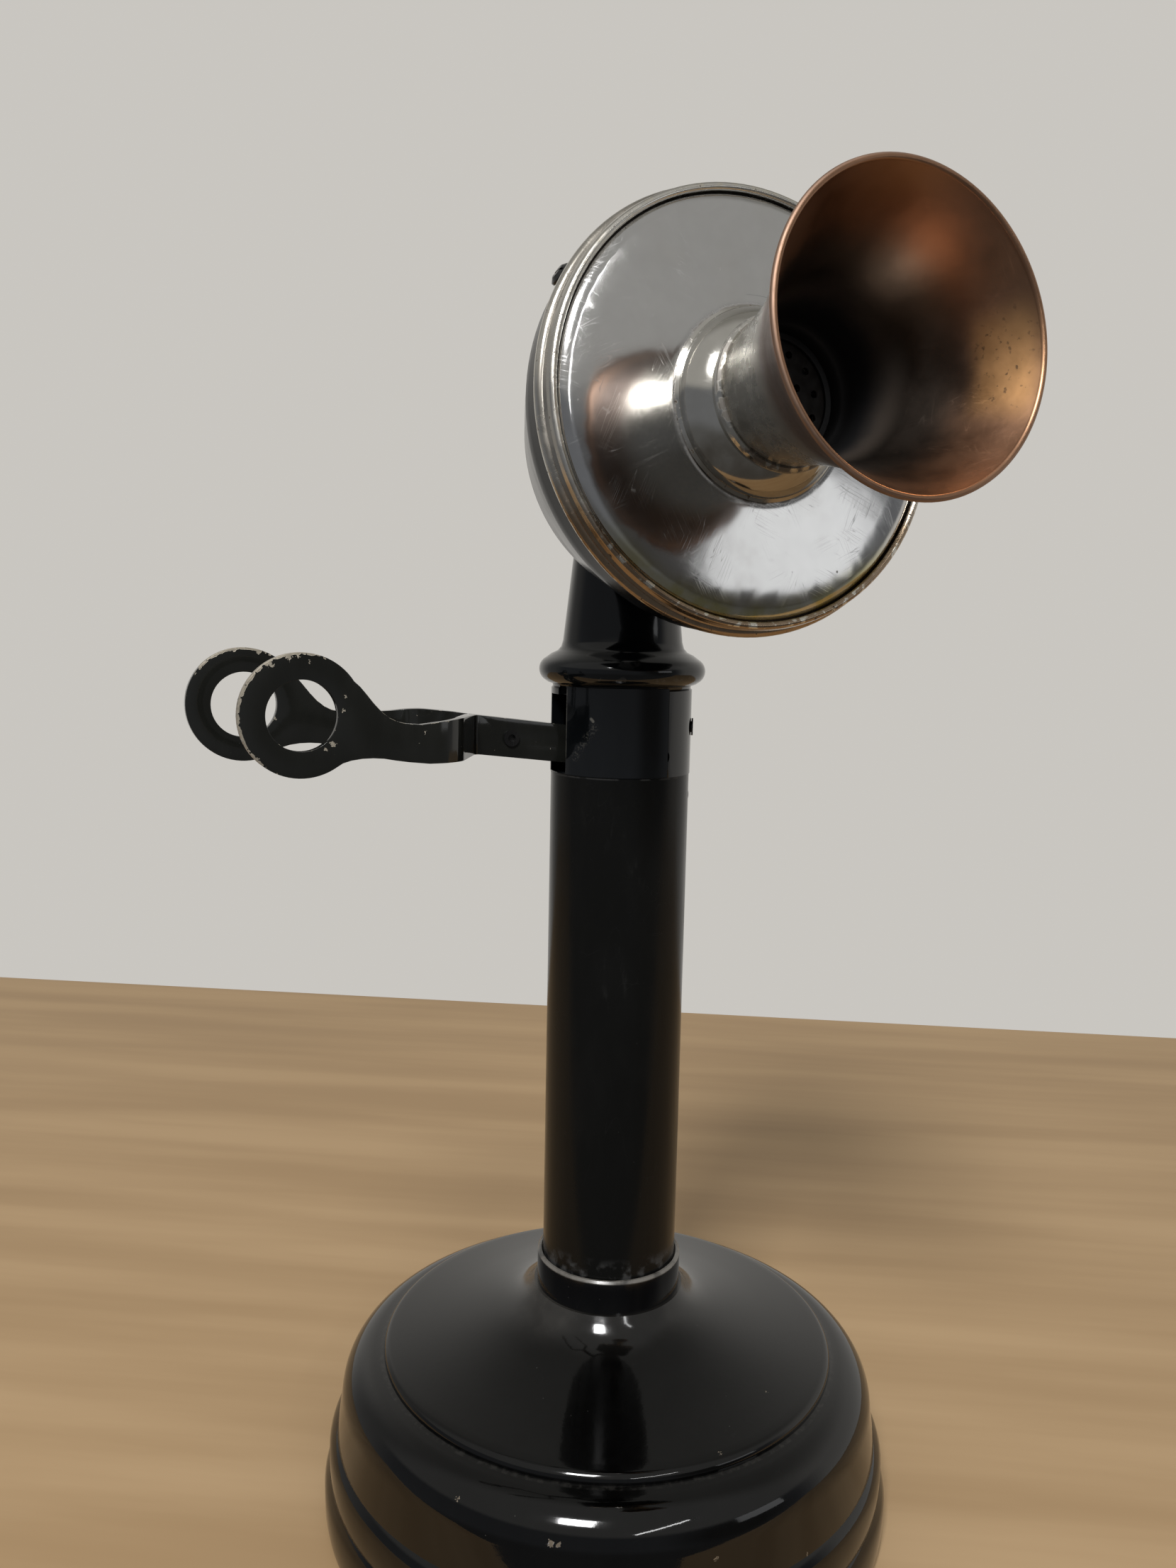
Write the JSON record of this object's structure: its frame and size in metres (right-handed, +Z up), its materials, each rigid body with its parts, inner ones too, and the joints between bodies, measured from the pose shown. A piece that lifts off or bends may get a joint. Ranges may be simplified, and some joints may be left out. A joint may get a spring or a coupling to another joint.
{
  "type": "desk stand telephone",
  "caption": "Desk stand telephone: weighted round base, tubular stem, switch hook with a two-eyed fork, and a tilting transmitter with a flared mouthpiece.",
  "frame": {"origin": "on the stem's axis, at the underside of the base's felt", "axes": "+Z up along the stem, the transmitter faces -Y, the switch hook reaches towards -X"},
  "size_m": [0.163, 0.1708, 0.2952],
  "materials": {
    "black_enamel": "baked gloss black enamel, worn",
    "nickel": "polished nickel plate, worn",
    "worn_nickel": "nickel plate worn through to brass",
    "black_steel": "blackened steel",
    "steel": "plain steel",
    "spring_bronze": "rolled spring bronze",
    "brass": "turned brass",
    "iron": "rough cast iron",
    "felt": "pressed wool felt",
    "hard_rubber": "moulded hard rubber",
    "terminal_wood": "varnished hardwood",
    "aluminium_plate": "thin rolled plate",
    "soft_rubber": "soft black rubber",
    "mica": "split mica"
  },
  "bodies": {
    "stand": {"base_shell": "black_enamel", "base_plate": "steel", "base_felt": "felt", "base_ballast": "iron", "base_screws": "steel", "line_cord_bushing": "hard_rubber", "receiver_cord_bushing": "hard_rubber", "terminal_block": "terminal_wood", "terminal_screws": "brass", "stem_tube": "black_enamel", "stem_foot": "steel", "stem_washer": "steel", "stem_nut": "steel", "foot_collar": "black_enamel", "head_casting": "black_enamel", "head_cover": "black_enamel", "head_screws": "black_steel", "side_screw": "black_steel", "hook_pivot_pin": "steel", "hook_stop_pin": "steel", "hook_return_spring": "spring_bronze", "contact_bracket": "steel", "contact_insulators": "hard_rubber", "contact_main_spring": "spring_bronze", "contact_make_spring": "spring_bronze", "contact_screws": "brass"},
    "hook": {"hook_front_half": "black_enamel", "hook_rear_half": "black_enamel", "hook_rivets": "black_enamel", "hook_arm": "steel", "hook_arm_stud": "hard_rubber"},
    "transmitter": {"tilt_bracket": "black_enamel", "tilt_bolt": "black_steel", "tilt_nut": "black_steel", "bracket_screws": "steel", "back_cup": "black_enamel", "rim_screws": "black_steel", "bezel_ring": "nickel", "faceplate": "nickel", "face_boss": "nickel", "mouthpiece": "worn_nickel", "sound_grille": "hard_rubber", "diaphragm": "aluminium_plate", "diaphragm_gasket": "soft_rubber", "clamp_ring": "brass", "damping_springs": "spring_bronze", "damping_pads": "soft_rubber", "damping_screws": "brass", "carbon_button": "brass", "button_diaphragm": "mica", "button_stud": "brass", "button_bridge": "steel", "bridge_screws": "steel"}
  },
  "joints": [
    {"name": "hook_drop", "type": "hinge", "parent": "stand", "child": "hook", "pos_m": [0.003, 0, 0.1838], "axis": [0, -1, 0], "range_deg": [0, 6], "stiffness_Nm_per_rad": 0.15, "springref_deg": -28.65, "deforming": ["hook_return_spring", "contact_main_spring"]},
    {"name": "transmitter_tilt", "type": "hinge", "parent": "stand", "child": "transmitter", "pos_m": [0, 0, 0.2475], "axis": [-1, 0, 0], "range_deg": [-8, 22]}
  ]
}
